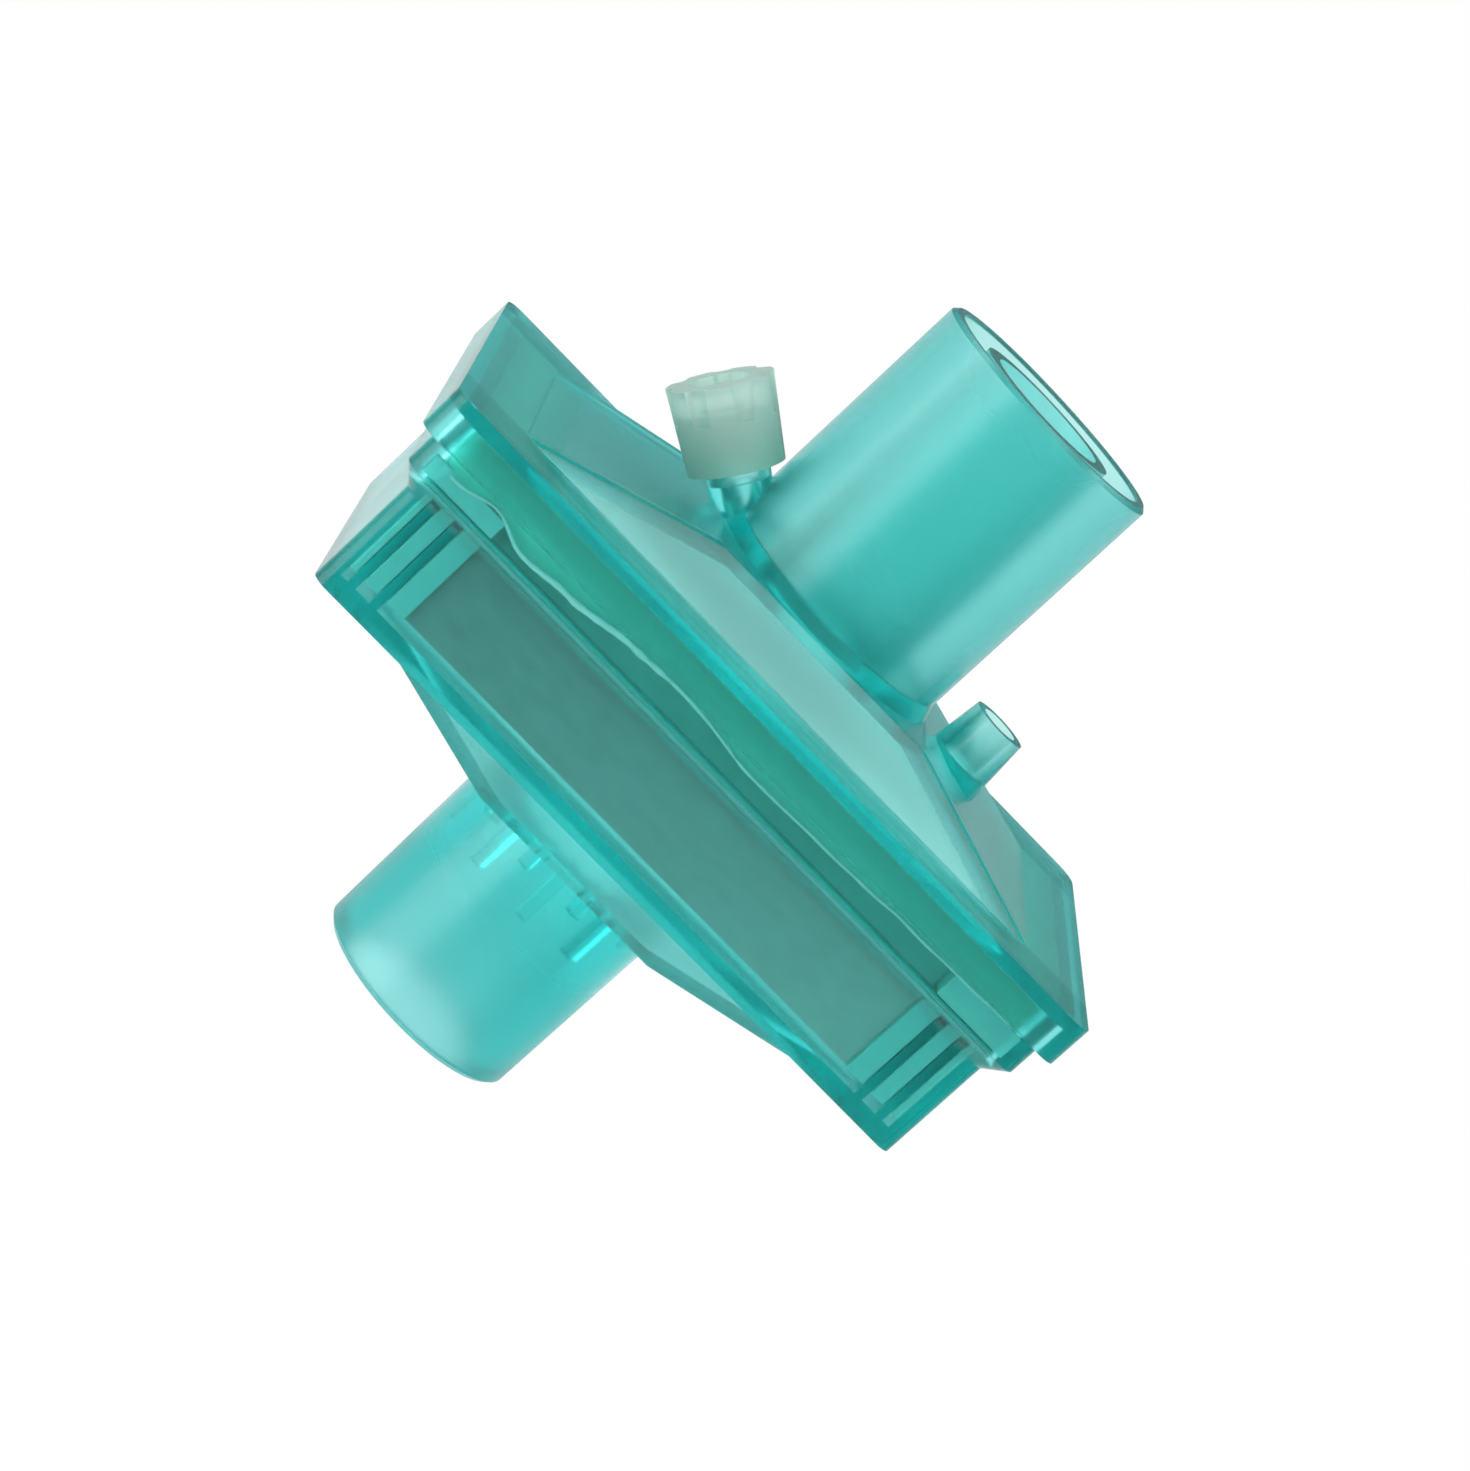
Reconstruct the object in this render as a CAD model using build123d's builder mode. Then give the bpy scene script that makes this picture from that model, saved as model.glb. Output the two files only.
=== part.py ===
"""Pleated breathing circuit filter: a clear two-part housing round a pleated paper pack.

The flow axis is +Z. The 22 mm male / 15 mm female port is at the bottom and the part
stands on its end; the 22 mm female / 15 mm male port is at the top. X runs along the
housing, and the sampling port leans over the -X slope. All sizes are in millimetres.
"""

from build123d import *
from math import cos, radians, sin
import os

os.makedirs("parts", exist_ok=True)

# Conical connectors, tapered 1 in 40 on the diameter
CONE_TAPER = 1 / 40
male_22_tip_diameter = 22.0
female_22_mouth_diameter = 22.4
male_15_tip_diameter = 15.2
female_15_mouth_diameter = 15.6
connector_depth = 16.0

# Heights up the flow axis
tray_floor = 26.3
tray_wall_height = 11.2
tray_step_height = 2.0
rim_wall_height = 6.2
cover_plate = 1.5
skirt_height = 4.3
hood_rise = 4.9
upper_port_length = 27.4

# Cover
cover_length = 77.4
cover_width = 48.8
cover_corner_radius = 1.8
skirt_wall = 1.4
ledge_width = 7.5
hood_wall = 1.4
hip_flat = 0.7
hip_fill = 1.8
hood_top_length = 26.0
hood_top_width = 26.4
upper_tube_diameter = 24.8
upper_root_height = 1.6
gap_depth = 26.4
web_thickness = 2.4
sleeve_bore_diameter = 12.4
sleeve_recess = 0.4
mouth_chamfer = 0.4

# Tray
skirt_clearance = 0.05
weld_gap = 0.03
rim_wall = 1.5
step_inset = 1.7
tray_wall = 1.6
tray_corner_radius = 1.5
floor_thickness = 1.6
funnel_length = 60.0
funnel_width = 33.0
funnel_depth = 5.9
funnel_wall = 1.6
tip_chamfer = 0.5
shelf_drop = 0.5
end_rib_thickness = 0.9
end_rib_setbacks = (1.25, 3.85)
end_rib_drop = 0.5
port_rib_pairs = 8
port_rib_width = 1.1
port_rib_height = 0.7
long_rib_start = 14.6
short_rib_start = 18.0

# Pleated pack and the adhesive that pots it
pack_end_room = 6.55
pack_side_room = 1.05
pack_lift = 1.0
pack_headroom = 0.5
pleat_count = 14
media_thickness = 0.45
adhesive_depth = 5.4
adhesive_end_thickness = 1.2
adhesive_corner_extra = 0.8

# Sampling port and its cap
luer_angle = 57.0
luer_x = -15.3
luer_height_above_plate = 8.4
neck_diameter = 6.6
neck_root_diameter = 5.6
neck_root_length = 4.5
neck_length = 5.2
luer_bore_mouth = 4.3
luer_taper = 0.06
luer_bore_depth = 6.5
sampling_bore = 2.4
cap_clearance = 0.25
cap_end_clearance = 0.3
cap_length = 8.0
cap_open_diameter = 8.9
cap_closed_diameter = 9.8
cap_lobes = 7
cap_notch_radius = 1.3
cap_notch_depth = 0.6
cap_notch_length = 3.4
cap_dish_diameter = 5.6
cap_dish_depth = 0.8
cap_plug_diameter = 3.6
cap_plug_length = 4.0

# Parking post for the cap
post_x = 18.0
post_height_above_plate = 9.3
post_top_diameter = 5.6
post_foot_diameter = 7.2
post_bore_diameter = 3.8
post_bore_depth = 4.8

# Places that follow from the sizes above
step_bottom = tray_floor + tray_wall_height
step_top = step_bottom + tray_step_height
plate_underside = step_top + rim_wall_height
cover_top = plate_underside + cover_plate
skirt_bottom = cover_top - skirt_height
hood_top = cover_top + hood_rise
upper_end = hood_top + upper_port_length
web_top = upper_end - gap_depth
web_bottom = web_top - web_thickness
hood_length = cover_length - 2 * ledge_width
hood_width = cover_width - 2 * ledge_width
rim_length = cover_length - 2 * (skirt_wall + skirt_clearance)
rim_width = cover_width - 2 * (skirt_wall + skirt_clearance)
rim_corner_radius = cover_corner_radius
box_length = rim_length - 2 * step_inset
box_width = rim_width - 2 * step_inset
box_inner_length = box_length - 2 * tray_wall
box_inner_width = box_width - 2 * tray_wall
shelf = step_top - shelf_drop
floor_top = tray_floor + floor_thickness
funnel_bottom = tray_floor - funnel_depth
pack_length = box_inner_length - 2 * pack_end_room
pack_width = box_inner_width - 2 * pack_side_room
pack_bottom = floor_top + pack_lift
pack_top = plate_underside - pack_headroom
adhesive_bottom = plate_underside - adhesive_depth
luer_z = cover_top + luer_height_above_plate
luer_lean = (sin(radians(luer_angle)), cos(radians(luer_angle)))
luer_plane = Plane(origin=(luer_x, 0, luer_z), x_dir=(0, 1, 0), z_dir=(-luer_lean[0], 0, luer_lean[1]))
luer_side = Plane(origin=(luer_x, 0, luer_z), x_dir=(luer_lean[1], 0, luer_lean[0]), z_dir=(0, -1, 0))
post_side = Plane(origin=(post_x, 0, cover_top), x_dir=(1, 0, 0), z_dir=(0, -1, 0))


def cone_radius(end_diameter, depth, sign):
    """Radius of a 1 in 40 cone at a depth from its open end."""
    return end_diameter / 2 + sign * CONE_TAPER / 2 * depth


def inner_half(outer_base, outer_top, rise, wall, height):
    """Half size, at a height over the base, of a sloping wall's inner face."""
    run = outer_base - outer_top
    slant = (run**2 + rise**2) ** 0.5
    return outer_base - run * height / rise - wall * slant / rise


def frustum(low_z, low_size, high_z, high_size, hip=hip_flat, mode=Mode.ADD):
    """Four slopes between two rectangles, with a narrow flat along each hip."""
    with BuildSketch(Plane.XY.offset(low_z)) as low_outline:
        Rectangle(*low_size)
        chamfer(low_outline.vertices(), length=hip)
    with BuildSketch(Plane.XY.offset(high_z)) as high_outline:
        Rectangle(*high_size)
        chamfer(high_outline.vertices(), length=hip)
    loft([low_outline.sketch.face(), high_outline.sketch.face()], ruled=True, mode=mode)


def rounded_block(low_z, high_z, length, width, radius, mode=Mode.ADD):
    """Upright block with rounded vertical corners."""
    with BuildSketch(Plane.XY.offset(low_z)) as outline:
        RectangleRounded(length, width, radius)
    extrude(outline.sketch, amount=high_z - low_z, mode=mode)


def turned(points, plane=Plane.XZ, mode=Mode.ADD):
    """Solid turned about a plane's y axis from a closed (radius, height) outline."""
    with BuildSketch(plane) as outline:
        with BuildLine():
            Polyline(*points, close=True)
        make_face()
    revolve(outline.sketch, axis=Axis(plane.origin, plane.y_dir), mode=mode)


# Cover: plate, skirt, hood, port and sampling port in one moulding
hood_inner_low = [
    2 * inner_half(outer / 2, top / 2, hood_rise, hood_wall, -cover_plate)
    for outer, top in ((hood_length, hood_top_length), (hood_width, hood_top_width))
]
hood_inner_high = [
    2 * inner_half(outer / 2, top / 2, hood_rise, hood_wall, hood_rise - hood_wall)
    for outer, top in ((hood_length, hood_top_length), (hood_width, hood_top_width))
]
upper_tube_radius = upper_tube_diameter / 2
gap_floor_radius = cone_radius(female_22_mouth_diameter, connector_depth, -1)
sleeve_end = upper_end - sleeve_recess
sleeve_root_radius = cone_radius(male_15_tip_diameter, connector_depth, 1)

with BuildPart() as upper_cover:
    rounded_block(skirt_bottom, cover_top, cover_length, cover_width, cover_corner_radius)
    frustum(cover_top, (hood_length, hood_width), hood_top, (hood_top_length, hood_top_width))
    turned([
        (0, plate_underside),
        (hood_top_length / 2, plate_underside),
        (hood_top_length / 2, hood_top),
        (upper_tube_radius, hood_top + upper_root_height),
        (upper_tube_radius, upper_end - mouth_chamfer),
        (upper_tube_radius - mouth_chamfer, upper_end),
        (0, upper_end),
    ])
    # Neck of the sampling port, out of the corner between slope and tube
    turned([
        (0, -neck_root_length),
        (neck_root_diameter / 2, -neck_root_length),
        (neck_diameter / 2, neck_length),
        (0, neck_length),
    ], luer_side)
    # Parking post on the other slope
    turned([
        (0, 0),
        (post_foot_diameter / 2, 0),
        (post_top_diameter / 2, post_height_above_plate),
        (0, post_height_above_plate),
    ], post_side)
    # Room inside the skirt, the hood and the tube
    rounded_block(
        skirt_bottom,
        plate_underside,
        cover_length - 2 * skirt_wall,
        cover_width - 2 * skirt_wall,
        cover_corner_radius,
        mode=Mode.SUBTRACT,
    )
    hood_inner_top = hood_top - hood_wall
    frustum(plate_underside, hood_inner_low, hood_inner_top, hood_inner_high, hip_fill, Mode.SUBTRACT)
    turned([
        (0, plate_underside),
        (gap_floor_radius, plate_underside),
        (gap_floor_radius, web_bottom),
        (0, web_bottom),
    ], mode=Mode.SUBTRACT)
    # Female cone outside the sleeve, then the sleeve's own bore
    turned([
        (sleeve_root_radius, web_top),
        (gap_floor_radius, web_top),
        (gap_floor_radius, upper_end - connector_depth),
        (female_22_mouth_diameter / 2, upper_end),
        (0, upper_end),
        (0, sleeve_end),
        (male_15_tip_diameter / 2, sleeve_end),
        (sleeve_root_radius, sleeve_end - connector_depth),
    ], mode=Mode.SUBTRACT)
    with BuildSketch(Plane.XY.offset(plate_underside)):
        Circle(sleeve_bore_diameter / 2)
    extrude(amount=upper_end - plate_underside, mode=Mode.SUBTRACT)
    # Sampling bore: a 6 % socket, then a narrow way into the hood
    turned([
        (0, -neck_root_length),
        (sampling_bore / 2, -neck_root_length),
        (sampling_bore / 2, neck_length - luer_bore_depth),
        ((luer_bore_mouth - luer_taper * luer_bore_depth) / 2, neck_length - luer_bore_depth),
        (luer_bore_mouth / 2, neck_length),
        (0, neck_length),
    ], luer_side, mode=Mode.SUBTRACT)
    turned([
        (0, post_height_above_plate - post_bore_depth),
        (post_bore_diameter / 2, post_height_above_plate - post_bore_depth),
        (post_bore_diameter / 2, post_height_above_plate),
        (0, post_height_above_plate),
    ], post_side, mode=Mode.SUBTRACT)

upper_cover.part.label = "upper_cover"
export_step(upper_cover.part, "parts/upper_cover.step")

# Tray: rim, 45 degree step, box, funnel and port in one moulding
rim_inner_length = rim_length - 2 * rim_wall
rim_inner_width = rim_width - 2 * rim_wall
funnel_foot = cone_radius(male_22_tip_diameter, funnel_bottom, 1) * 2
bore_radius = cone_radius(female_15_mouth_diameter, connector_depth, -1)
funnel_inner_low = [
    2 * inner_half(outer / 2, funnel_foot / 2, funnel_depth, funnel_wall, funnel_depth - funnel_wall)
    for outer in (funnel_length, funnel_width)
]
funnel_inner_high = [
    2 * inner_half(outer / 2, funnel_foot / 2, funnel_depth, funnel_wall, -floor_thickness)
    for outer in (funnel_length, funnel_width)
]
funnel_inner_floor = funnel_bottom + funnel_wall

with BuildPart() as lower_tray:
    rounded_block(tray_floor, step_bottom, box_length, box_width, tray_corner_radius)
    with BuildSketch(Plane.XY.offset(step_bottom)):
        RectangleRounded(box_length, box_width, tray_corner_radius)
    with BuildSketch(Plane.XY.offset(step_top)):
        RectangleRounded(rim_length, rim_width, rim_corner_radius)
    loft(ruled=True)
    rounded_block(step_top, plate_underside - weld_gap, rim_length, rim_width, rim_corner_radius)
    frustum(funnel_bottom, (funnel_foot, funnel_foot), tray_floor, (funnel_length, funnel_width))
    turned([
        (0, 0),
        (male_22_tip_diameter / 2 - tip_chamfer, 0),
        (male_22_tip_diameter / 2, tip_chamfer),
        (funnel_foot / 2, funnel_bottom),
        (funnel_foot / 2, funnel_bottom + floor_thickness),
        (0, funnel_bottom + floor_thickness),
    ])
    # Room for the pack, then the funnel and the female cone below it
    rounded_block(
        shelf,
        plate_underside,
        rim_inner_length,
        rim_inner_width,
        rim_corner_radius,
        mode=Mode.SUBTRACT,
    )
    with BuildSketch(Plane.XY.offset(floor_top)):
        Rectangle(box_inner_length, box_inner_width)
    extrude(amount=shelf - floor_top, mode=Mode.SUBTRACT)
    frustum(funnel_inner_floor, funnel_inner_low, floor_top, funnel_inner_high, hip_fill, Mode.SUBTRACT)
    turned([
        (0, 0),
        (female_15_mouth_diameter / 2, 0),
        (bore_radius, connector_depth),
        (bore_radius, funnel_inner_floor),
        (0, funnel_inner_floor),
    ], mode=Mode.SUBTRACT)
    # Long and short ribs by turns round the inner end of the bore
    for first_angle, start in ((0, long_rib_start), (180 / port_rib_pairs, short_rib_start)):
        with BuildSketch(Plane.XY.offset(start)):
            with PolarLocations(bore_radius, port_rib_pairs, start_angle=first_angle):
                Rectangle(2 * port_rib_height, port_rib_width)
        extrude(amount=funnel_inner_floor - start)
    # Two thin ribs across each end keep the pack away from the end wall
    with BuildSketch(Plane.XY.offset(floor_top)):
        for setback in end_rib_setbacks:
            rib_x = box_inner_length / 2 - setback
            with Locations((-rib_x, 0), (rib_x, 0)):
                Rectangle(end_rib_thickness, box_inner_width)
    extrude(amount=shelf - end_rib_drop - floor_top)

lower_tray.part.label = "lower_tray"
export_step(lower_tray.part, "parts/lower_tray.step")

# Media: one sheet folded up and down, its folds along X
panel_pitch = (pack_width - media_thickness) / (2 * pleat_count)
fold_outer = (panel_pitch + media_thickness) / 2
fold_inner = (panel_pitch - media_thickness) / 2
first_panel = (media_thickness - pack_width) / 2

with BuildPart() as pleated_media:
    with BuildSketch(Plane.YZ.offset(-pack_length / 2)):
        for panel in range(2 * pleat_count + 1):
            low = pack_bottom if panel == 0 else pack_bottom + fold_outer
            high = pack_top if panel == 2 * pleat_count else pack_top - fold_outer
            with Locations((first_panel + panel * panel_pitch, (low + high) / 2)):
                Rectangle(media_thickness, high - low)
        for fold in range(2 * pleat_count):
            side = 1 if fold % 2 == 0 else -1
            centre_z = pack_top - fold_outer if side == 1 else pack_bottom + fold_outer
            centre_y = first_panel + (fold + 0.5) * panel_pitch
            with BuildLine():
                Polyline(
                    (centre_y - fold_outer, centre_z),
                    (centre_y, centre_z + side * fold_outer),
                    (centre_y + fold_outer, centre_z),
                    (centre_y + fold_inner, centre_z),
                    (centre_y, centre_z + side * fold_inner),
                    (centre_y - fold_inner, centre_z),
                    close=True,
                )
            make_face()
    extrude(amount=pack_length)

pleated_media.part.label = "pleated_media"
export_step(pleated_media.part, "parts/pleated_media.step")

# Adhesive: a ring cast against the cover's plate, and a layer over each end of the pleats
with BuildPart() as adhesive_seal:
    with BuildSketch(Plane.XY.offset(adhesive_bottom)):
        RectangleRounded(rim_inner_length, rim_inner_width, rim_corner_radius + adhesive_corner_extra)
        Rectangle(pack_length, pack_width, mode=Mode.SUBTRACT)
    extrude(amount=adhesive_depth)
    with BuildSketch(Plane.XY.offset(pack_bottom)):
        end_layer = (pack_length + adhesive_end_thickness) / 2
        with Locations((-end_layer, 0), (end_layer, 0)):
            Rectangle(adhesive_end_thickness, pack_width)
    extrude(amount=adhesive_bottom - pack_bottom)

adhesive_seal.part.label = "adhesive_seal"
export_step(adhesive_seal.part, "parts/adhesive_seal.step")

# Cap: a lobed cup over the neck, with a plug that stands in the socket
cap_room = neck_diameter / 2 + cap_clearance
cap_room_depth = neck_length + cap_end_clearance

with BuildPart() as luer_cap:
    turned([
        (0, 0),
        (cap_open_diameter / 2, 0),
        (cap_closed_diameter / 2, cap_length),
        (cap_dish_diameter / 2, cap_length),
        (cap_dish_diameter / 2, cap_length - cap_dish_depth),
        (0, cap_length - cap_dish_depth),
    ], luer_side)
    # Notches round the closed end leave the lobes of the grip
    with BuildSketch(luer_plane.offset(cap_length - cap_notch_length)):
        with PolarLocations(cap_closed_diameter / 2 + cap_notch_radius - cap_notch_depth, cap_lobes):
            Circle(cap_notch_radius)
    extrude(amount=cap_notch_length, mode=Mode.SUBTRACT)
    turned([
        (0, 0),
        (cap_room, 0),
        (cap_room, cap_room_depth),
        (cap_plug_diameter / 2, cap_room_depth),
        (cap_plug_diameter / 2, cap_room_depth - cap_plug_length),
        (0, cap_room_depth - cap_plug_length),
    ], luer_side, mode=Mode.SUBTRACT)

luer_cap.part.label = "luer_cap"
export_step(luer_cap.part, "parts/luer_cap.step")
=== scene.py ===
"""Looks of a pleated breathing circuit filter in clear teal plastic, on a white ground."""

from math import cos, pi, radians, sin

import bmesh
import bpy
from mathutils import Matrix, Vector, noise


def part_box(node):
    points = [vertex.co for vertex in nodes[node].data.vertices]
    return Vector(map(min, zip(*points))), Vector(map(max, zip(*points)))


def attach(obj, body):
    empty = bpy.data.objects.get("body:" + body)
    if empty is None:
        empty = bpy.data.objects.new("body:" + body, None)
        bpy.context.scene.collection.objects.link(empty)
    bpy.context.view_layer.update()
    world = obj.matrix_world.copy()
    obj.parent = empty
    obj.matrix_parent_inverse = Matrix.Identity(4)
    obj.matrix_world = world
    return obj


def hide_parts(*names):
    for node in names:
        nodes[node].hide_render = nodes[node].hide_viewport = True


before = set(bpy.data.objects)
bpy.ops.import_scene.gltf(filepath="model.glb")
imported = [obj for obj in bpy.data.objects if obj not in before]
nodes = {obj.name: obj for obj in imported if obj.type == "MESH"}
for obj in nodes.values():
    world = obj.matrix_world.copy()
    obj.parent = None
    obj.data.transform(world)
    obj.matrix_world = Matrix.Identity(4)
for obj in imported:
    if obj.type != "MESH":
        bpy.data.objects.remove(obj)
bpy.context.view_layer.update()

# Camera, fitted to the photograph: its place in metres, its angles in degrees
CAMERA_PLACE = Vector((-0.0597, -0.3966, 0.1206))
CAMERA_AZIMUTH = radians(-8.9)
CAMERA_ELEVATION = radians(11.57)
CAMERA_ROLL = radians(47.38)
SENSOR_WIDTH = 36.0
LENS = 111.1

# Light levels. Gloss sees white to one side of BACKDROP_SIDE and dim to the other
WHITE = 1.0
ROOM_LEVEL = 0.95
DIM_LEVEL = 0.15
BACKDROP_SIDE = (0.0, 0.35, -1.0)
BACKDROP_EDGE = (0.20, 0.55)

# Lamps: the way to each from the middle of the object, its distance and size in metres, and its watts
MIDDLE = Vector((0, 0, 0.04))
KEY_LAMP = (Vector((-0.85, -0.45, -0.15)), 0.6, (0.60, 0.50), 3.4)
TOP_LAMP = (Vector((0.15, -0.45, 0.88)), 0.6, (0.40, 0.40), 1.8)

# Scales of the noise in the materials, per metre
CLOUD_SCALE = 60
WAVE_SCALE = 40
FIBRE_SCALE = 900
RESIN_CLOUD_SCALE = 120
RESIN_WAVE_SCALE = 200
CAP_CLOUD_SCALE = 150
CAP_GRAIN_SCALE = 300
BEAD_SCALE = 400

# Plastic: its tint where light crosses a surface, absorption along the way in 1/m, and colour of its gloss
HOUSING_TINT = (0.74, 0.915, 0.90, 1.0)
HOUSING_ABSORBS = (0.0, 0.945, 0.94, 1.0)
HOUSING_DENSITY = 300.0
HOUSING_GLOSS = (0.80, 0.90, 0.90, 1.0)
HOUSING_ROUGHNESS = (0.20, 0.26)
HOUSING_SHADE = 0.99

# The lower port lets less light through than the box; the change lies between these heights, in metres
PORT_TINT = (0.74, 0.80, 0.79, 1.0)
PORT_TOP = (0.0150, 0.0205)

# Hips of the hood, painted with a deep teal line of shade, the dark line that the rounded hips give in clear
# plastic: half sizes and height of its foot and its top, in metres
HIP_FOOT = (0.0312, 0.0169, 0.0472)
HIP_TOP = (0.0130, 0.0132, 0.0521)
HIP_REACH = (0.0050, 0.0010)
HIP_START = (0.0470, 0.0473)
HIP_PAINTED_SHADE_TINT = (0.0, 0.50, 0.48, 1.0)
HIP_SHADE = 0.95

# Matt ports: the cones are frosted up to these heights, in metres, and the roughness that this adds
FROSTED_BELOW = (0.0105, 0.0140)
FROSTED_ABOVE = (0.0540, 0.0580)
LOWER_FROST = 0.12
UPPER_FROST = 0.036

# Paper: the outer panels begin this far from the middle, in metres across the housing
OUTER_PANEL = (0.0180, 0.0182)
PAPER_WHITE = (0.80, 0.81, 0.78, 1.0)
PAPER_GREY = (0.37, 0.38, 0.355, 1.0)
PAPER_PALE = (0.55, 0.54, 0.50, 1.0)
OUTER_PANEL_FADE = (-0.024, 0.026)
SOAKED_PAPER = (0.22, 0.62, 0.57, 1.0)
SOAKED_ABOVE = (0.0384, 0.0388)

# Adhesive: the ring's colour, that of the resin which soaks the pleat ends, and that of the shelf's film,
# whose deep dark teal is painted shade
RESIN = (0.25, 0.99, 0.80, 1.0)
SOAKED = (0.42, 0.97, 0.90, 1.0)
SHELF_FILM_SHADE = (0.01, 0.62, 0.57, 1.0)
RESIN_SHADE = 0.9
# Painted glint: near-white colours for the line where the adhesive meets the wall, in place of the light that
# glints there
GLINT_DULL = (0.85, 0.95, 0.88, 1.0)
GLINT_BRIGHT = (1.0, 1.0, 0.96, 1.0)

# Cap: the way that it points, where it pales along that way in metres, and its two colours; the foot's deeper
# teal is painted light, the teal neck showing through
CAP_AXIS = (-0.83867, 0.0, 0.54464)
CAP_FADE = (0.0435, 0.0500)
CAP_FOOT_PAINTED_TEAL = (0.31, 0.66, 0.57, 1.0)
CAP_CROWN = (0.56, 0.78, 0.71, 1.0)
CAP_SHADE = 0.93

# Resin in the pockets at both ends, between pack, ribs and end wall, along X in metres
POCKETS = ((0.0274, 0.02965), (0.03055, 0.03225), (0.03315, 0.03395))
POCKET_HALF_WIDTH = 0.01955
POCKET_TOP = 0.0395
BLOCK_EDGE = 0.0001

# Resin over the ribs, up to the ring
END_FILL = (0.0275, 0.0356)
END_FILL_HALF_WIDTH = 0.0213
END_FILL_FLOOR = 0.0397
END_FILL_TOPS = {"left": 0.0416, "right": 0.0422}

# Film on the shelf: half sizes of the shelf's outer and inner edge, in metres
SHELF_HEIGHT = 0.0390
SHELF_OUTER = (0.03575, 0.02145)
SHELF_INNER = (0.03395, 0.01965)
FILM_THICKNESS = 0.00055
FILM_CORNER = 0.0018

# Adhesive ring: how far it stays off the walls and the pack, and how its lower edge swells and ripples
ADHESIVE_GAP = 0.00008
RING_STEPS = 360
RING_CORNER = 0.0026
SHARP_CORNER = 0.0001
RING_SHARES = (0.0, 0.06, 0.16, 0.35, 0.65, 0.9, 1.0)
EDGE_RISE = 0.0007
RIPPLE = 0.0001
RIPPLE_SCALE = 320
RIPPLE_SEED = 9.0
BACK_RIPPLE = 2.5

# Places along X where the edge on the front wall turns, and its heights there, in millimetres
FRONT_EDGE = (
    (-33, 41.2), (-29, 42.1), (-24.5, 40.8), (-20, 41.2), (-12, 42.2),
    (-7, 42.5), (3, 41.6), (12, 41.8), (22, 42.2), (33, 42.5),
)

# Bead under the edge, which carries the painted glint: radius and drop in metres, its scale from the ring's
# wall, and where it swells along X
BEAD_RADIUS = 0.00015
BEAD_DROP = 0.00018
BEAD_INSET = (0.9975, 0.9955)
BEAD_SIDES = 6
BEAD_SWELL = (-0.0280, -0.0030)
BEAD_SWELL_MORE = 1.3
BEAD_RIPPLE = 0.4
BEAD_RIPPLE_SCALE = 900
BEAD_RIPPLE_SEED = 4.0


class Nodes:
    """A material's node tree, with short calls to add and join nodes."""

    def __init__(self, name):
        self.material = bpy.data.materials.new(name)
        self.material.use_nodes = True
        self.tree = self.material.node_tree
        self.tree.nodes.clear()
        self.output = self.add("ShaderNodeOutputMaterial")
        self.coordinates = self.add("ShaderNodeTexCoord").outputs["Object"]

    def add(self, kind, **values):
        node = self.tree.nodes.new(kind)
        for socket, value in values.items():
            node.inputs[socket.replace("_", " ")].default_value = value
        return node

    def link(self, start, end):
        self.tree.links.new(start, end)

    def place(self):
        """The X, Y and Z of a point in the object's frame."""
        split = self.add("ShaderNodeSeparateXYZ")
        self.link(self.coordinates, split.inputs["Vector"])
        return split.outputs

    def noise(self, scale, detail=3.0, stretch=(1, 1, 1)):
        """A noise value, drawn out along the axes by stretch."""
        mapping = self.add("ShaderNodeMapping", Scale=stretch)
        self.link(self.coordinates, mapping.inputs["Vector"])
        pattern = self.add("ShaderNodeTexNoise", Scale=scale, Detail=detail)
        self.link(mapping.outputs["Vector"], pattern.inputs["Vector"])
        return pattern.outputs["Fac"]

    def ramp(self, value, low, high):
        """Colours between low and high, led by a value."""
        ramp = self.add("ShaderNodeValToRGB")
        start, end = ramp.color_ramp.elements
        start.position, end.position = 0.3, 0.7
        start.color, end.color = low, high
        self.link(value, ramp.inputs["Fac"])
        return ramp.outputs["Color"]

    def clouded(self, value, colour, share):
        """A colour that is darker by a share where the value is high."""
        return self.ramp(value, colour, darker(colour, share))

    def spread(self, value, low, high, over=(0.0, 1.0)):
        """A number between low and high, led by a value that runs over a range."""
        start, end = over
        spread = self.add("ShaderNodeMapRange", To_Min=low, To_Max=high, From_Min=start, From_Max=end)
        self.link(value, spread.inputs["Value"])
        return spread.outputs["Result"]

    def math(self, operation, *values):
        """The result of a sum on one value or two."""
        node = self.add("ShaderNodeMath")
        node.operation = operation
        for value, socket in zip(values, node.inputs):
            self.link(value, socket)
        return node.outputs["Value"]

    def mix(self, share, first, second):
        """A colour that goes from the first to the second as share goes from 0 to 1."""
        mix = self.tree.nodes.new("ShaderNodeMix")
        mix.data_type = "RGBA"
        start, end = [socket for socket in mix.inputs if socket.type == "RGBA"]
        self.link(share, mix.inputs["Factor"])
        self.link(first, start)
        self.link(second, end)
        return [socket for socket in mix.outputs if socket.type == "RGBA"][0]

    def bump(self, value, strength, distance):
        bump = self.add("ShaderNodeBump", Strength=strength, Distance=distance)
        self.link(value, bump.inputs["Height"])
        return bump.outputs["Normal"]

    def finish(self, shader):
        self.link(shader.outputs["BSDF"], self.output.inputs["Surface"])
        return self.material


def darker(colour, share):
    """The same colour, darker by a share."""
    return tuple(channel * share for channel in colour[:3]) + (1.0,)


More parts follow.
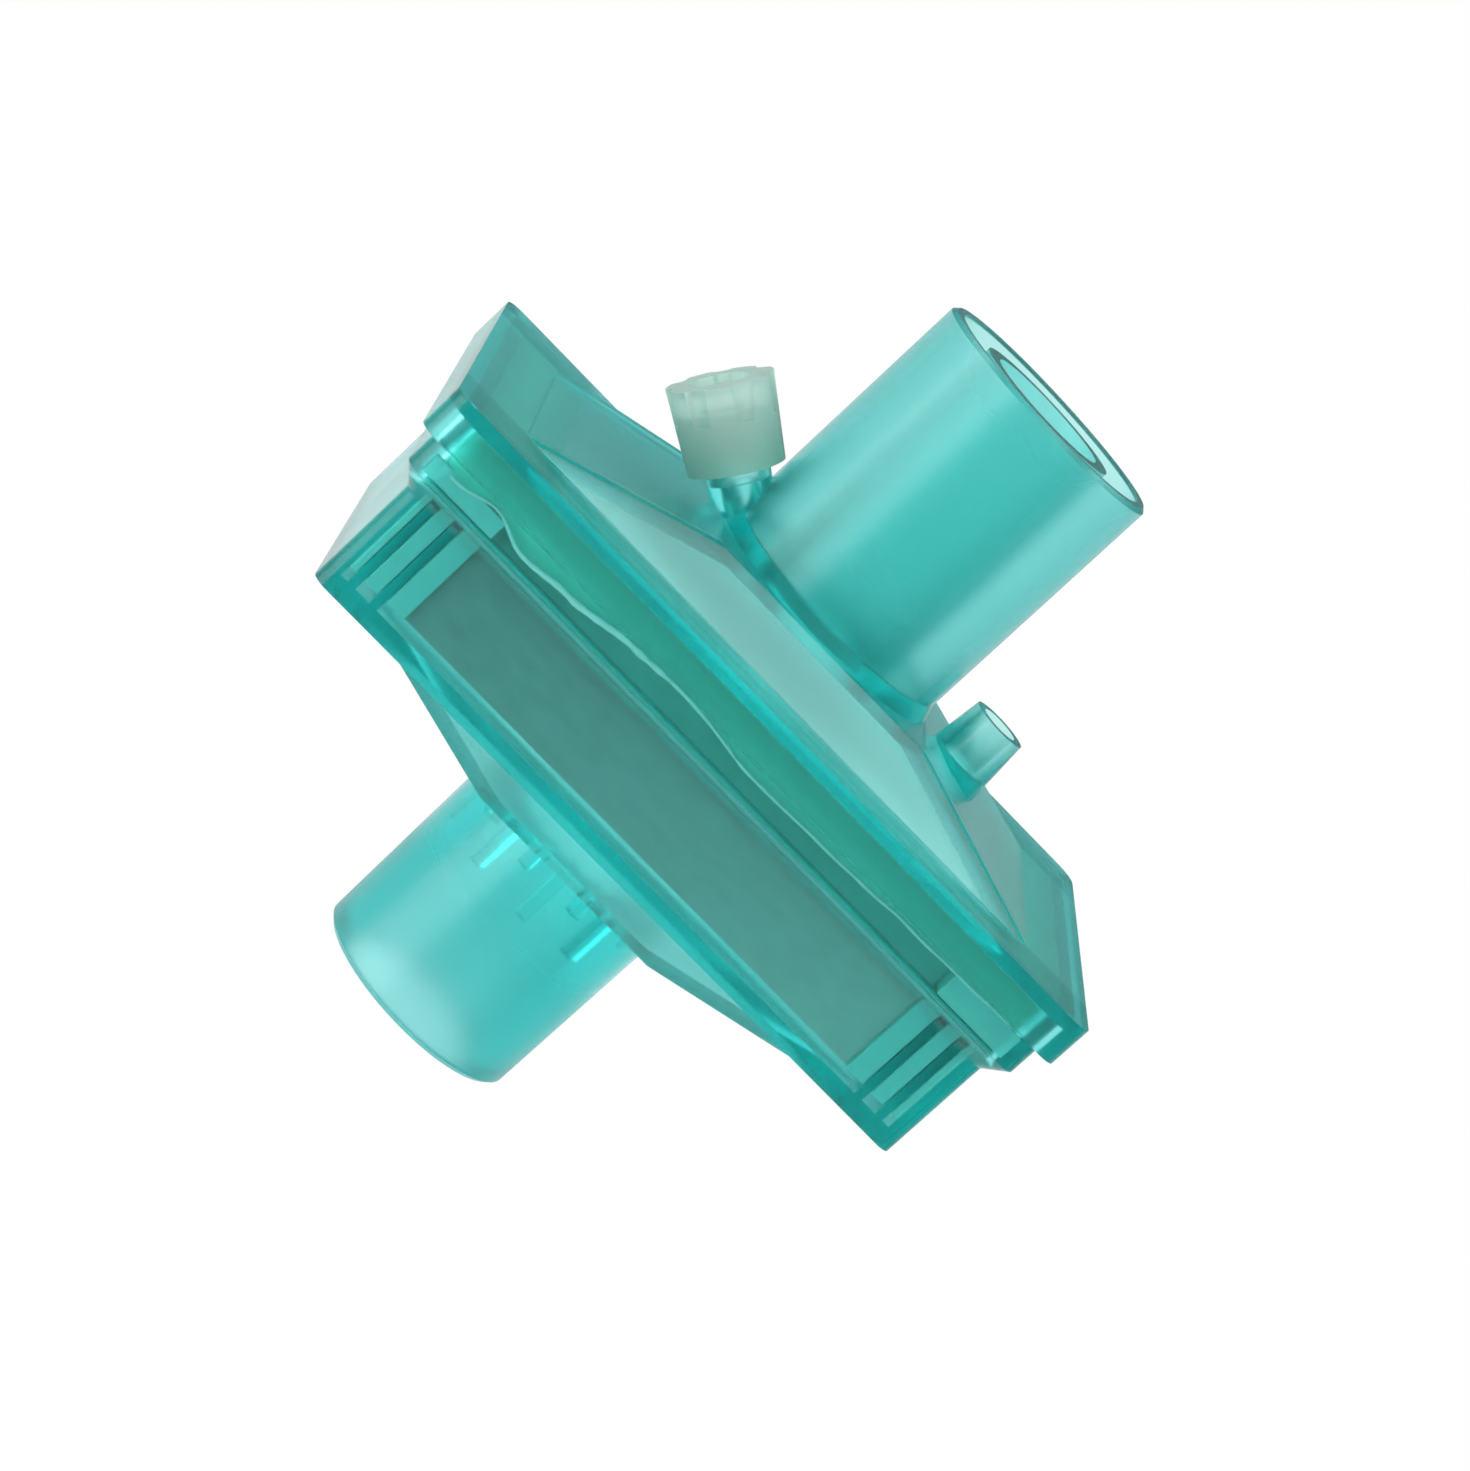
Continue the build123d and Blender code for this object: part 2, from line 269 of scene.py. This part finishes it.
def hip_painted_shade_share(n, place):
    """Share of the painted shade: 1 along the hood's hips, 0 away from them."""
    share = n.spread(place["Z"], 0.0, 1.0, HIP_START)
    height = n.spread(place["Z"], 0.0, 1.0, (HIP_FOOT[2], HIP_TOP[2]))
    for axis, foot, top, reach in zip("XY", HIP_FOOT, HIP_TOP, HIP_REACH):
        edge = n.spread(height, foot, top)
        inside = n.math("SUBTRACT", edge, n.math("ABSOLUTE", place[axis]))
        share = n.math("MINIMUM", share, n.spread(inside, 1.0, 0.0, (reach / 2, reach)))
    return share


def housing_plastic():
    """Clear teal plastic: pale where thin, deep where the light runs along the wall, with painted shade along
    the hood's hips.
    """
    n = Nodes("housing")
    shader = n.add("ShaderNodeBsdfPrincipled", IOR=1.49, Transmission_Weight=1.0, Specular_Tint=HOUSING_GLOSS)
    place = n.place()
    cloud = n.noise(CLOUD_SCALE)
    wall = n.clouded(cloud, HOUSING_TINT, HOUSING_SHADE)
    port = n.clouded(cloud, PORT_TINT, HOUSING_SHADE)
    # Painted shade: the hips get a deep teal colour for the dark line that their rounded edges give
    hip = n.clouded(cloud, HIP_PAINTED_SHADE_TINT, HIP_SHADE)
    tint = n.mix(n.spread(place["Z"], 0.0, 1.0, PORT_TOP), port, wall)
    n.link(n.mix(hip_painted_shade_share(n, place), tint, hip), shader.inputs["Base Color"])
    lower = n.spread(place["Z"], LOWER_FROST, 0.0, FROSTED_BELOW)
    upper = n.spread(place["Z"], 0.0, UPPER_FROST, FROSTED_ABOVE)
    roughness = n.spread(n.noise(CLOUD_SCALE, 1.0), *HOUSING_ROUGHNESS)
    n.link(n.math("ADD", roughness, n.math("ADD", lower, upper)), shader.inputs["Roughness"])
    waves = n.noise(WAVE_SCALE, 1.0, stretch=(1, 1, 0.4))
    n.link(n.bump(waves, 0.03, 0.0004), shader.inputs["Normal"])
    absorption = n.add("ShaderNodeVolumeAbsorption", Color=HOUSING_ABSORBS, Density=HOUSING_DENSITY)
    n.link(absorption.outputs["Volume"], n.output.inputs["Volume"])
    return n.finish(shader)


def media_paper():
    """Matt glass-fibre paper with a fine felt: white folds, greyer outer panels, soaked near the resin."""
    n = Nodes("media")
    shader = n.add("ShaderNodeBsdfPrincipled", Roughness=0.9)
    fibre = n.noise(FIBRE_SCALE, 6.0, stretch=(0.4, 1, 1))
    place = n.place()
    outer = n.spread(n.math("ABSOLUTE", place["Y"]), 0.0, 1.0, OUTER_PANEL)
    along = n.spread(place["X"], 0.0, 1.0, OUTER_PANEL_FADE)
    soaked = n.spread(place["Z"], 0.0, 1.0, SOAKED_ABOVE)
    panel = n.mix(along, n.clouded(fibre, PAPER_GREY, 0.85), n.clouded(fibre, PAPER_PALE, 0.9))
    panel = n.mix(soaked, panel, n.clouded(fibre, SOAKED_PAPER, 0.9))
    colour = n.mix(outer, n.clouded(fibre, PAPER_WHITE, 0.92), panel)
    n.link(colour, shader.inputs["Base Color"])
    n.link(n.bump(fibre, 0.4, 0.0002), shader.inputs["Normal"])
    return n.finish(shader)


def adhesive_resin(name, colour, transmission):
    """Cast resin, tinted by the plastic round it and cloudy."""
    n = Nodes(name)
    shader = n.add("ShaderNodeBsdfPrincipled", Roughness=0.25, IOR=1.5, Transmission_Weight=transmission)
    tint = n.ramp(n.noise(RESIN_CLOUD_SCALE), darker(colour, RESIN_SHADE), colour)
    n.link(tint, shader.inputs["Base Color"])
    n.link(n.bump(n.noise(RESIN_WAVE_SCALE), 0.4, 0.0004), shader.inputs["Normal"])
    return n.finish(shader)


def cap_plastic():
    """Milky plastic that lets some light through, paler towards its crown, with the teal neck seen through
    its foot painted in.
    """
    n = Nodes("cap")
    shader = n.add("ShaderNodeBsdfPrincipled", IOR=1.5, Transmission_Weight=0.55)
    along = n.add("ShaderNodeVectorMath")
    along.operation = "DOT_PRODUCT"
    along.inputs[1].default_value = CAP_AXIS
    n.link(n.coordinates, along.inputs[0])
    crown = n.spread(along.outputs["Value"], 0.0, 1.0, CAP_FADE)
    cloud = n.noise(CAP_CLOUD_SCALE)
    shades = [n.clouded(cloud, colour, CAP_SHADE) for colour in (CAP_FOOT_PAINTED_TEAL, CAP_CROWN)]
    n.link(n.mix(crown, *shades), shader.inputs["Base Color"])
    n.link(n.spread(n.noise(CAP_GRAIN_SCALE), 0.28, 0.38), shader.inputs["Roughness"])
    return n.finish(shader)


def painted_edge_glint():
    """The rim of the adhesive where it meets the wall, painted near white as a glint of light."""
    n = Nodes("adhesive_edge_glint")
    shader = n.add("ShaderNodeBsdfPrincipled", Roughness=0.2)
    n.link(n.ramp(n.noise(BEAD_SCALE), GLINT_DULL, GLINT_BRIGHT), shader.inputs["Base Color"])
    return n.finish(shader)


def dress(material, *names):
    for name in names:
        nodes[name].data.materials.clear()
        nodes[name].data.materials.append(material)


def rounded_loop(half_x, half_y, radius):
    """Points evenly spaced round a rectangle with rounded corners."""
    points = []
    straight_x, straight_y = half_x - radius, half_y - radius
    arc = radius * pi / 2
    lengths = [2 * straight_x, arc, 2 * straight_y, arc] * 2
    starts = [(-straight_x, -half_y), (straight_x, -half_y), (half_x, -straight_y), (half_x, straight_y)]
    starts += [(-x, -y) for x, y in starts]
    total = sum(lengths)
    for step in range(RING_STEPS):
        way = total * step / RING_STEPS
        side = 0
        while way > lengths[side]:
            way -= lengths[side]
            side += 1
        x, y = starts[side]
        heading = (side // 2) * pi / 2
        if side % 2:
            turned = way / radius
            x += radius * (sin(heading + turned) - sin(heading))
            y += radius * (cos(heading) - cos(heading + turned))
        else:
            x += way * cos(heading)
            y += way * sin(heading)
        points.append((x, y))
    return points


def edge_height(x, y):
    """Height of the adhesive's edge at a place on the wall."""
    place = min(max(1000 * x, FRONT_EDGE[0][0]), FRONT_EDGE[-1][0])
    (x0, z0), (x1, z1) = next(pair for pair in zip(FRONT_EDGE, FRONT_EDGE[1:]) if place <= pair[1][0])
    share = (place - x0) / (x1 - x0)
    height = (z0 + (z1 - z0) * (3 - 2 * share) * share * share) / 1000
    ripple = noise.noise(Vector((x * RIPPLE_SCALE, y * RIPPLE_SCALE, RIPPLE_SEED)))
    return height + RIPPLE * ripple * (1.0 if y < 0 else BACK_RIPPLE)


def add_piece(name, mesh):
    piece = bpy.data.objects.new(name, mesh)
    bpy.context.scene.collection.objects.link(piece)
    return piece


def ring_mesh(name, rings):
    """A closed smooth tube from rings of points, each joined to the next and the last to the first."""
    count = len(rings[0])
    points = [point for ring in rings for point in ring]
    faces = []
    for row in range(len(rings)):
        after = (row + 1) % len(rings)
        for step in range(count):
            side = (step + 1) % count
            faces.append((row * count + step, row * count + side, after * count + side, after * count + step))
    mesh = bpy.data.meshes.new(name)
    mesh.from_pydata(points, [], faces)
    shell = bmesh.new()
    shell.from_mesh(mesh)
    bmesh.ops.recalc_face_normals(shell, faces=shell.faces)
    for face in shell.faces:
        face.smooth = True
    shell.to_mesh(mesh)
    shell.free()
    return add_piece(name, mesh)


def adhesive_ring():
    """Adhesive between rim and pack, its lower edge climbing the wall in waves.

    Also gives the line where it meets the wall, and the height of the adhesive's floor.
    """
    low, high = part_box("adhesive_seal")
    pack_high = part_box("pleated_media")[1]
    top = high[2] - ADHESIVE_GAP
    outer = rounded_loop(high[0] - ADHESIVE_GAP, high[1] - ADHESIVE_GAP, RING_CORNER)
    inner = rounded_loop(pack_high[0] + ADHESIVE_GAP, pack_high[1] + ADHESIVE_GAP, SHARP_CORNER)
    rings = []
    for share in RING_SHARES:
        climb = EDGE_RISE * (1 - (2 * share - 1) ** 2)
        ring = []
        for (xo, yo), (xi, yi) in zip(outer, inner):
            x, y = xo + (xi - xo) * share, yo + (yi - yo) * share
            ring.append((x, y, edge_height(xo, yo) + climb))
        rings.append(ring)
    rings += [[(x, y, top) for x, y in loop] for loop in (inner, outer)]
    wall_line = [(x, y, edge_height(x, y) - BEAD_DROP) for x, y in outer]
    return ring_mesh("adhesive_ring", rings), wall_line, low[2]


def adhesive_block(name, side, along, half_width, heights):
    """A block of resin across one end, with its edges broken."""
    low, high = Vector((along[0], -half_width, heights[0])), Vector((along[1], half_width, heights[1]))
    centre = (low + high) / 2
    centre.x *= side
    shell = bmesh.new()
    place = Matrix.Translation(centre) @ Matrix.Diagonal((high - low).to_4d())
    bmesh.ops.create_cube(shell, size=1, matrix=place)
    bmesh.ops.bevel(shell, geom=shell.edges[:], offset=BLOCK_EDGE, segments=2, affect="EDGES", profile=0.5)
    mesh = bpy.data.meshes.new(name)
    shell.to_mesh(mesh)
    shell.free()
    return add_piece(name, mesh)


def adhesive_pockets(floor):
    """Resin at both ends of the pleats: between the ribs, and over them up to the ring."""
    pieces = []
    for side, end_name in ((-1, "left"), (1, "right")):
        for number, (start, end) in enumerate(POCKETS):
            along = (start + ADHESIVE_GAP, end - ADHESIVE_GAP)
            name = f"adhesive_pocket_{end_name}_{number}"
            pieces.append(adhesive_block(name, side, along, POCKET_HALF_WIDTH, (floor, POCKET_TOP)))
        name = f"adhesive_end_{end_name}"
        heights = (END_FILL_FLOOR, END_FILL_TOPS[end_name])
        pieces.append(adhesive_block(name, side, END_FILL, END_FILL_HALF_WIDTH, heights))
    return pieces


def shelf_film():
    """A thin film of resin that has run on to the shelf round the box."""
    outer = rounded_loop(*(reach - ADHESIVE_GAP for reach in SHELF_OUTER), FILM_CORNER)
    inner = rounded_loop(*(reach + ADHESIVE_GAP for reach in SHELF_INNER), SHARP_CORNER)
    low, high = SHELF_HEIGHT + ADHESIVE_GAP, SHELF_HEIGHT + FILM_THICKNESS
    profile = ((outer, low), (inner, low), (inner, high), (outer, high))
    return ring_mesh("adhesive_film", [[(x, y, z) for x, y in loop] for loop, z in profile])


def adhesive_edge_glint(wall_line):
    """A thin bead of uneven thickness along the line where the adhesive meets the wall, to carry the painted
    glint.
    """
    line = [(x * BEAD_INSET[0], y * BEAD_INSET[1], z) for x, y, z in wall_line]
    reach_x, reach_y = (max(place[axis] for place in line) for axis in (0, 1))
    start, end = BEAD_SWELL
    rings = [[] for turn in range(BEAD_SIDES)]
    for x, y, z in line:
        swell = max(sin(pi * (x - start) / (end - start)), 0) if start < x < end and y < 0 else 0
        ripple = noise.noise(Vector((x * BEAD_RIPPLE_SCALE, y * BEAD_RIPPLE_SCALE, BEAD_RIPPLE_SEED)))
        radius = BEAD_RADIUS * (1 + BEAD_SWELL_MORE * swell) * (1 + BEAD_RIPPLE * ripple)
        for turn, ring in enumerate(rings):
            angle = turn * 2 * pi / BEAD_SIDES
            out, up = radius * cos(angle), radius * sin(angle)
            ring.append((x + out * x / reach_x, y + out * y / reach_y, z + up))
    return ring_mesh("adhesive_edge_glint", rings)


def camera_axes():
    """Right, up and back of the camera in the object's frame."""
    back = Vector((
        sin(CAMERA_AZIMUTH) * cos(CAMERA_ELEVATION),
        -cos(CAMERA_AZIMUTH) * cos(CAMERA_ELEVATION),
        sin(CAMERA_ELEVATION),
    ))
    level = Vector((cos(CAMERA_AZIMUTH), sin(CAMERA_AZIMUTH), 0))
    upright = back.cross(level)
    right = cos(CAMERA_ROLL) * level + sin(CAMERA_ROLL) * upright
    return right, back.cross(right), back


def place_camera():
    data = bpy.data.cameras.new("camera")
    data.sensor_width = SENSOR_WIDTH
    data.lens = LENS
    data.clip_start = 0.01
    camera = bpy.data.objects.new("camera", data)
    bpy.context.scene.collection.objects.link(camera)
    turn = Matrix(camera_axes()).transposed()
    camera.matrix_world = Matrix.Translation(CAMERA_PLACE) @ turn.to_4x4()
    bpy.context.scene.camera = camera


def area_light(name, direction, distance, size, watts):
    """A soft lamp that looks at the middle of the object."""
    data = bpy.data.lights.new(name, "AREA")
    data.shape = "RECTANGLE"
    data.size, data.size_y = size
    data.energy = watts
    lamp = bpy.data.objects.new(name, data)
    bpy.context.scene.collection.objects.link(lamp)
    lamp.location = MIDDLE + direction.normalized() * distance
    lamp.rotation_euler = direction.to_track_quat("Z", "Y").to_euler()
    return lamp


def light_world():
    """White where it is seen, also through the plastic, and a plain level where it only lights.

    The white ground that the gloss mirrors ends behind the object, and the room past it is dim.
    """
    world = bpy.data.worlds.new("world")
    bpy.context.scene.world = world
    world.use_nodes = True
    tree = world.node_tree
    tree.nodes.clear()
    path = tree.nodes.new("ShaderNodeLightPath")

    def choose(kind, otherwise, chosen):
        """The chosen level for one kind of ray, and the other level for the rest."""
        choice = tree.nodes.new("ShaderNodeMix")
        tree.links.new(path.outputs[kind], choice.inputs["Factor"])
        for name, level in (("A", otherwise), ("B", chosen)):
            if isinstance(level, float):
                choice.inputs[name].default_value = level
            else:
                tree.links.new(level, choice.inputs[name])
        return choice.outputs["Result"]

    side = tree.nodes.new("ShaderNodeVectorMath")
    side.operation = "DOT_PRODUCT"
    side.inputs[1].default_value = BACKDROP_SIDE
    tree.links.new(tree.nodes.new("ShaderNodeTexCoord").outputs["Generated"], side.inputs[0])
    mirrored = tree.nodes.new("ShaderNodeMapRange")
    mirrored.inputs["From Min"].default_value, mirrored.inputs["From Max"].default_value = BACKDROP_EDGE
    mirrored.inputs["To Min"].default_value = DIM_LEVEL
    mirrored.inputs["To Max"].default_value = WHITE
    tree.links.new(side.outputs["Value"], mirrored.inputs["Value"])

    level = choose("Is Glossy Ray", ROOM_LEVEL, mirrored.outputs["Result"])
    level = choose("Is Transmission Ray", level, WHITE)
    level = choose("Is Camera Ray", level, WHITE)
    ground = tree.nodes.new("ShaderNodeBackground")
    ground.inputs["Color"].default_value = (1, 1, 1, 1)
    tree.links.new(level, ground.inputs["Strength"])
    output = tree.nodes.new("ShaderNodeOutputWorld")
    tree.links.new(ground.outputs["Background"], output.inputs["Surface"])


resin = adhesive_resin("adhesive", RESIN, 0.06)
soaked = adhesive_resin("adhesive_soaked", SOAKED, 0.25)
dress(housing_plastic(), "upper_cover", "lower_tray")
dress(media_paper(), "pleated_media")
dress(resin, "adhesive_seal")
dress(cap_plastic(), "luer_cap")

ring, wall_line, adhesive_floor = adhesive_ring()
# The glint where the adhesive meets the wall is painted on a thin bead
bead = adhesive_edge_glint(wall_line)
bead.data.materials.append(painted_edge_glint())
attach(bead, "housing")
pockets = adhesive_pockets(adhesive_floor)
film = shelf_film()
ring.data.materials.append(resin)
# Painted shade: the film's deep dark teal stands for the dark line along the thick edge at the shelf
film.data.materials.append(adhesive_resin("adhesive_film", SHELF_FILM_SHADE, 0.0))
for piece in pockets:
    piece.data.materials.append(soaked)
for piece in [ring, film, *pockets]:
    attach(piece, "housing")
    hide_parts("adhesive_seal")

place_camera()
light_world()
# The key lamp has no mirror image, which would wash out the cover's flat plate from the side
area_light("key", *KEY_LAMP).visible_glossy = False
area_light("top", *TOP_LAMP)

# Light bounces many times inside the clear walls before it comes out
scene = bpy.context.scene
scene.view_settings.view_transform = "Standard"
scene.cycles.max_bounces = 32
scene.cycles.transmission_bounces = 28
scene.cycles.glossy_bounces = 28
scene.cycles.diffuse_bounces = 6
scene.cycles.transparent_max_bounces = 16
